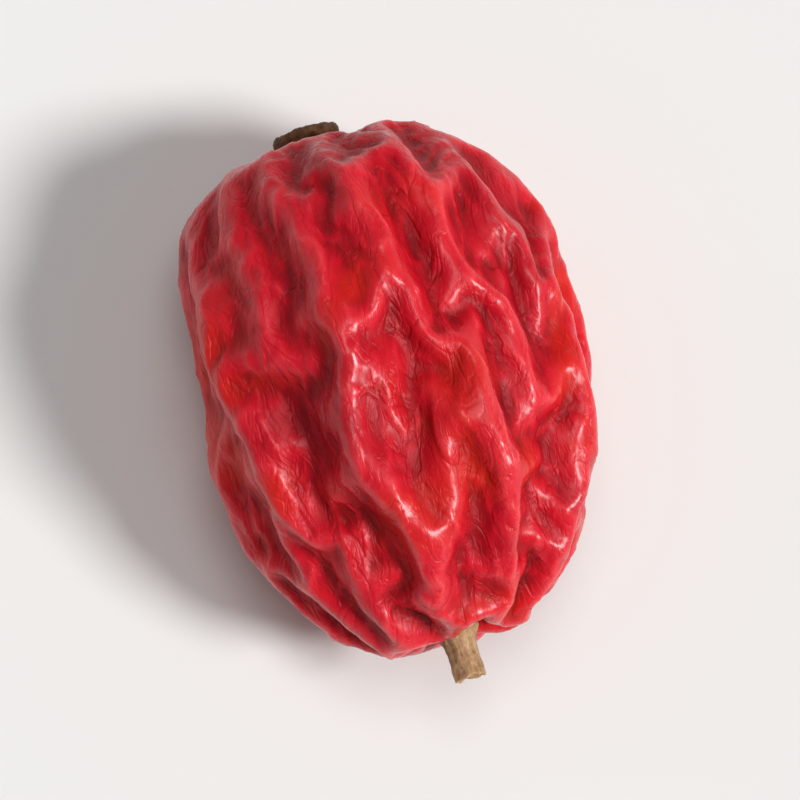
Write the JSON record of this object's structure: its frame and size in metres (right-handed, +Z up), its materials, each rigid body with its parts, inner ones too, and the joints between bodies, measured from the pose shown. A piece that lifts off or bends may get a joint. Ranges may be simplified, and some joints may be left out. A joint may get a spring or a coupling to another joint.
{
  "type": "dried barberry",
  "caption": "Oblong dried red berry with a wrinkled skin, a dark button-shaped stigma at its tip and a short snapped stalk at its base, lying on a small flat spot.",
  "frame": {"origin": "on the flat spot that the berry rests on, under the middle of its bounding box", "axes": "+X along the fruit from its stalk to its stigma, +Y across it, +Z up from the surface that it rests on"},
  "size_m": [0.0096, 0.0066, 0.0056],
  "materials": {
    "fruit_skin": "satin",
    "dried_stigma": "matte",
    "dry_stalk": "matte"
  },
  "bodies": {
    "root": {"fruit": "fruit_skin", "stigma": "dried_stigma", "stalk_stub": "dry_stalk"}
  },
  "joints": []
}
